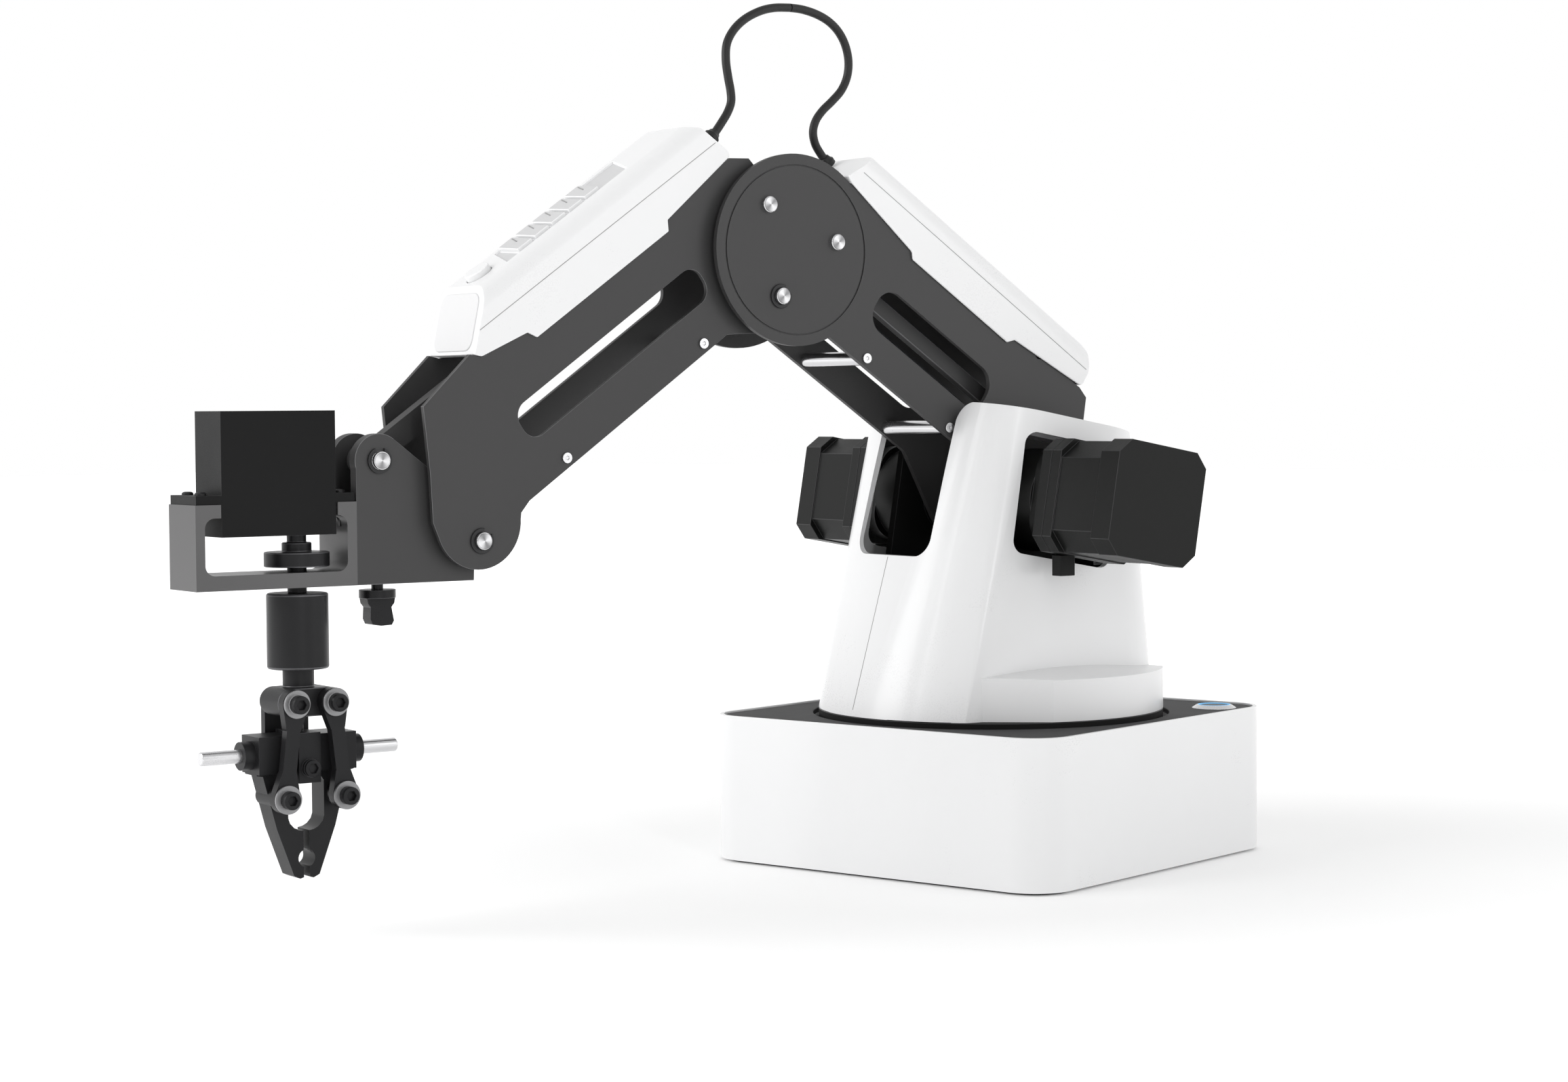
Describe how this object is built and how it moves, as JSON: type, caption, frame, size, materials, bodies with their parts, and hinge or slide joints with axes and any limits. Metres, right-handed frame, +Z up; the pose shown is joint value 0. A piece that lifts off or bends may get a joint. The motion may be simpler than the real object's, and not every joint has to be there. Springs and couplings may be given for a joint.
{
  "type": "desktop robot arm",
  "caption": "Desktop robot arm: square base, turning tower, two parallel-linked arm segments kept level at the wrist, and a two-finger pneumatic gripper.",
  "frame": {"origin": "centre of the base underside, on the turret turning axis, at table height", "axes": "+X out of the base front face, +Y to the side nearer the camera on the right of the picture, +Z up; at rest the arm points 16 degrees from +X towards -Y"},
  "size_m": [0.4029, 0.2014, 0.3208],
  "materials": {
    "white_shell": "gloss white moulded plastic",
    "anthracite_plastic": "fine-grained matte anthracite",
    "dark_steel": "black painted sheet steel",
    "silver_steel": "turned and brushed",
    "black_plastic": "moulded black, satin",
    "circuit_board": "solder mask",
    "motor_black": "satin black",
    "bearing_aluminium": "machined",
    "plate_anthracite": "fine-grained anthracite coating, paler cut edges",
    "bronze_bush": "sintered bronze",
    "gripper_black": "black anodised, satin",
    "cable_rubber": "matte black lead"
  },
  "bodies": {
    "base": {"base_shell": "white_shell", "base_bottom": "dark_steel", "base_screws": "silver_steel", "top_plate": "anthracite_plastic", "button_ring": "silver_steel", "rear_sockets": "black_plastic", "control_board": "circuit_board", "yaw_motor": "motor_black", "bearing_ring": "bearing_aluminium"},
    "power_button": {"power_button": "silver_steel"},
    "turret": {"turntable": "anthracite_plastic", "tower_shell": "white_shell", "inner_frame": "plate_anthracite", "shoulder_motor": "motor_black", "forearm_motor": "motor_black", "shoulder_gearbox": "motor_black", "forearm_gearbox": "motor_black"},
    "rear_arm": {"rear_plate_near": "plate_anthracite", "rear_plate_far": "plate_anthracite", "rear_spacers": "silver_steel", "rear_screws": "silver_steel", "rear_cover": "white_shell", "elbow_disc_pins": "silver_steel", "elbow_pin": "silver_steel", "shoulder_hub": "silver_steel", "cable_rear": "cable_rubber"},
    "rear_level_link": {"rear_level_link": "plate_anthracite"},
    "elbow_triangle": {"elbow_triangle": "plate_anthracite"},
    "forearm_level_link": {"forearm_level_link": "plate_anthracite"},
    "crank": {"crank": "silver_steel"},
    "crank_bush": {"crank_bush": "bronze_bush"},
    "drive_rod": {"drive_rod": "plate_anthracite"},
    "forearm": {"forearm_plate_near": "plate_anthracite", "forearm_plate_far": "plate_anthracite", "forearm_spacers": "silver_steel", "forearm_screws": "silver_steel", "forearm_cover": "white_shell", "elbow_bushes": "bronze_bush", "wrist_pin": "silver_steel", "cable_fore": "cable_rubber"},
    "unlock_button": {"unlock_button": "white_shell"},
    "wrist_bracket": {"bracket_plates": "plate_anthracite", "bracket_block": "plate_anthracite", "servo_frame": "plate_anthracite", "tilt_pin": "silver_steel", "servo": "black_plastic"},
    "thumb_screw": {"thumb_screw": "gripper_black"},
    "tool": {"tool_coupling": "gripper_black", "air_cylinder": "gripper_black", "crosshead": "gripper_black"},
    "gripper_block": {"gripper_block": "gripper_black", "guide_rod": "silver_steel"},
    "finger_front": {"finger_front": "gripper_black"},
    "finger_rear": {"finger_rear": "gripper_black"},
    "link_front": {"link_front": "gripper_black"},
    "link_rear": {"link_rear": "gripper_black"}
  },
  "joints": [
    {"name": "power_button_press", "type": "slide", "parent": "base", "child": "power_button", "axis": [0, 0, -1], "range_m": [0, 0.0008], "stiffness_N_per_m": 1200},
    {"name": "base_yaw", "type": "hinge", "parent": "base", "child": "turret", "pos_m": [0, 0, 0], "axis": [0, 0, 1], "range_deg": [-74, 106]},
    {"name": "rear_arm_lift", "type": "hinge", "parent": "turret", "child": "rear_arm", "pos_m": [0, 0, 0.138], "axis": [-0.2756, -0.9613, 0], "range_deg": [-16, 41]},
    {"name": "elbow_level", "type": "hinge", "parent": "rear_arm", "child": "elbow_triangle", "pos_m": [0.10758, -0.03085, 0.21349], "axis": [-0.2756, -0.9613, 0], "range_deg": [-41, 16], "deforming": ["cable_rear"]},
    {"name": "rear_level_swing", "type": "hinge", "parent": "turret", "child": "rear_level_link", "pos_m": [-0.01923, 0.00551, 0.156], "axis": [-0.2756, -0.9613, 0], "range_deg": [-16, 41]},
    {"name": "forearm_lift", "type": "hinge", "parent": "elbow_triangle", "child": "forearm", "pos_m": [0.10758, -0.03085, 0.21349], "axis": [-0.2756, -0.9613, 0], "range_deg": [-30, 27], "deforming": ["cable_fore"]},
    {"name": "crank_turn", "type": "hinge", "parent": "turret", "child": "crank", "pos_m": [0, 0, 0.138], "axis": [-0.2756, -0.9613, 0], "range_deg": [-30, 27]},
    {"name": "crank_bush_turn", "type": "hinge", "parent": "crank", "child": "crank_bush", "pos_m": [-0.01969, 0.00564, 0.15234], "axis": [-0.2756, -0.9613, 0], "range_deg": [-27, 30]},
    {"name": "drive_rod_swing", "type": "hinge", "parent": "crank_bush", "child": "drive_rod", "pos_m": [-0.01969, 0.00564, 0.15234], "axis": [-0.2756, -0.9613, 0], "range_deg": [-16, 41]},
    {"name": "forearm_level_swing", "type": "hinge", "parent": "elbow_triangle", "child": "forearm_level_link", "pos_m": [0.142, -0.04072, 0.24119], "axis": [-0.2756, -0.9613, 0], "range_deg": [-30, 27]},
    {"name": "wrist_level", "type": "hinge", "parent": "forearm", "child": "wrist_bracket", "pos_m": [0.22334, -0.06404, 0.12918], "axis": [-0.2756, -0.9613, 0], "range_deg": [-27, 30]},
    {"name": "unlock_button_press", "type": "slide", "parent": "forearm", "child": "unlock_button", "axis": [-0.5514, 0.1581, -0.8192], "range_m": [0, 0.0006], "stiffness_N_per_m": 1000},
    {"name": "thumb_screw_turn", "type": "hinge", "parent": "wrist_bracket", "child": "thumb_screw", "pos_m": [0.2539, -0.07281, 0.11418], "axis": [0, 0, 1], "range_deg": [-180, 180]},
    {"name": "tool_turn", "type": "hinge", "parent": "wrist_bracket", "child": "tool", "pos_m": [0.28226, -0.08094, 0.12918], "axis": [0, 0, 1], "range_deg": [-90, 90]},
    {"name": "gripper_open", "type": "slide", "parent": "tool", "child": "gripper_block", "axis": [0, 0, 1], "range_m": [0, 0.004]},
    {"name": "finger_front_slide", "type": "slide", "parent": "gripper_block", "child": "finger_front", "axis": [0.9613, -0.2756, 0], "range_m": [0, 0.01207]},
    {"name": "finger_rear_slide", "type": "slide", "parent": "gripper_block", "child": "finger_rear", "axis": [-0.9613, 0.2756, 0], "range_m": [0, 0.01207]},
    {"name": "link_front_swing", "type": "hinge", "parent": "tool", "child": "link_front", "pos_m": [0.28899, -0.08287, 0.07778], "axis": [-0.2756, -0.9613, 0], "range_deg": [0, 23.45]},
    {"name": "link_rear_swing", "type": "hinge", "parent": "tool", "child": "link_rear", "pos_m": [0.27553, -0.07901, 0.07778], "axis": [0.2756, 0.9613, 0], "range_deg": [0, 23.45]}
  ],
  "couplings": [
    {"joint": "elbow_level", "follows": "rear_arm_lift", "ratio": -1},
    {"joint": "rear_level_swing", "follows": "rear_arm_lift", "ratio": 1},
    {"joint": "drive_rod_swing", "follows": "rear_arm_lift", "ratio": 1},
    {"joint": "crank_turn", "follows": "forearm_lift", "ratio": 1},
    {"joint": "crank_bush_turn", "follows": "forearm_lift", "ratio": -1},
    {"joint": "forearm_level_swing", "follows": "forearm_lift", "ratio": 1},
    {"joint": "wrist_level", "follows": "forearm_lift", "ratio": -1},
    {"joint": "finger_front_slide", "follows": "gripper_open", "ratio": 3.0175},
    {"joint": "finger_rear_slide", "follows": "gripper_open", "ratio": 3.0175},
    {"joint": "link_front_swing", "follows": "gripper_open", "rad_per_m": 102.31},
    {"joint": "link_rear_swing", "follows": "gripper_open", "rad_per_m": 102.31}
  ]
}
